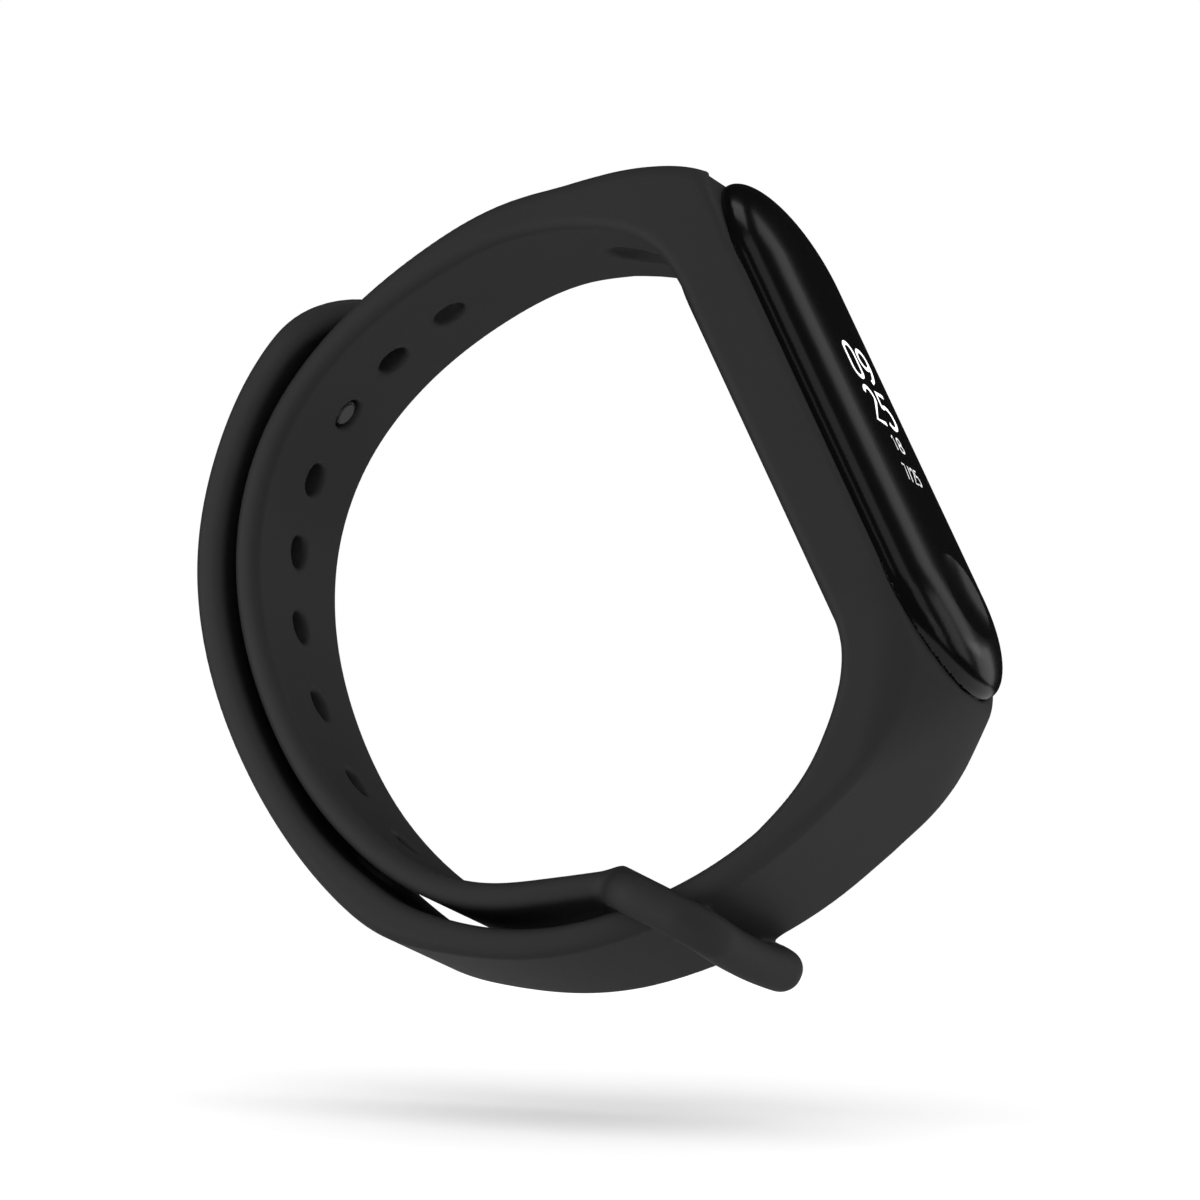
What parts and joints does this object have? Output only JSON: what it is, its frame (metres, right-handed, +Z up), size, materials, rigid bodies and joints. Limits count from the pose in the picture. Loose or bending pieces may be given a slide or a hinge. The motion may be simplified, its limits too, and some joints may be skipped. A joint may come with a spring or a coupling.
{
  "type": "fitness tracker band",
  "caption": "Wrist band with a pill-shaped tracker capsule in a soft silicone strap, closed by a stud through a buttonhole and an eyelet loop.",
  "frame": {"origin": "middle of the wrist opening, halfway across the strap's width", "axes": "+Y runs along the forearm, across the strap's width; +X points to the display side; +Z is up when the band hangs closed with its display upright"},
  "size_m": [0.0641, 0.0204, 0.0617],
  "materials": {
    "silicone": "matt, very fine grain",
    "stud_metal": "dark polished plating",
    "lens_gloss": "polished, scratch-hard",
    "case_plastic": "satin",
    "adhesive": "soft",
    "panel_glass": "polished",
    "ribbon_film": "amber film",
    "board_green": "solder mask",
    "chip_black": "moulded",
    "spring_steel": "drawn sheet",
    "battery_foil": "foil",
    "contact_gold": "plated",
    "window_dark": "smoked, polished",
    "led_clear": "clear resin"
  },
  "bodies": {
    "band": {"strap_pocket": "silicone", "hole_leg": "silicone", "eyelet_loop": "silicone", "stud_leg": "silicone"},
    "free_tail": {"stud_leg_tail": "silicone", "fastener_stud": "stud_metal", "stud_cap": "stud_metal"},
    "tracker": {"lens_cover": "lens_gloss", "lens_seal": "adhesive", "main_case": "case_plastic", "case_seal": "adhesive", "back_case": "case_plastic", "display_bond": "adhesive", "display_panel": "panel_glass", "display_ribbon": "ribbon_film", "touch_pad": "ribbon_film", "touch_ribbon": "ribbon_film", "inner_frame": "case_plastic", "main_board": "board_green", "board_chips": "chip_black", "shield_can": "spring_steel", "battery_pad": "adhesive", "battery_cell": "battery_foil", "battery_leads": "contact_gold", "antenna_strip": "contact_gold", "motor_can": "spring_steel", "motor_cover": "spring_steel", "motor_shaft": "spring_steel", "sensor_window": "window_dark", "sensor_gasket": "adhesive", "sensor_board": "board_green", "sensor_leds": "led_clear", "photodiode": "chip_black", "light_barrier": "chip_black", "sensor_ribbon": "ribbon_film", "charging_contacts": "contact_gold", "contact_springs": "contact_gold"},
    "rotor": {"motor_rotor": "contact_gold"}
  },
  "joints": [
    {"name": "tracker_eject", "type": "slide", "parent": "band", "child": "tracker", "axis": [0.9092, 0, 0.4163], "range_m": [0, 0.012]},
    {"name": "tail_unbutton", "type": "hinge", "parent": "band", "child": "free_tail", "pos_m": [-0.02958, 0, 0.0079], "axis": [0, -1, 0], "range_deg": [0, 60]},
    {"name": "motor_spin", "type": "hinge", "parent": "tracker", "child": "rotor", "pos_m": [0.02762, 0, -0.00352], "axis": [0.9092, 0, 0.4163], "continuous": true}
  ]
}
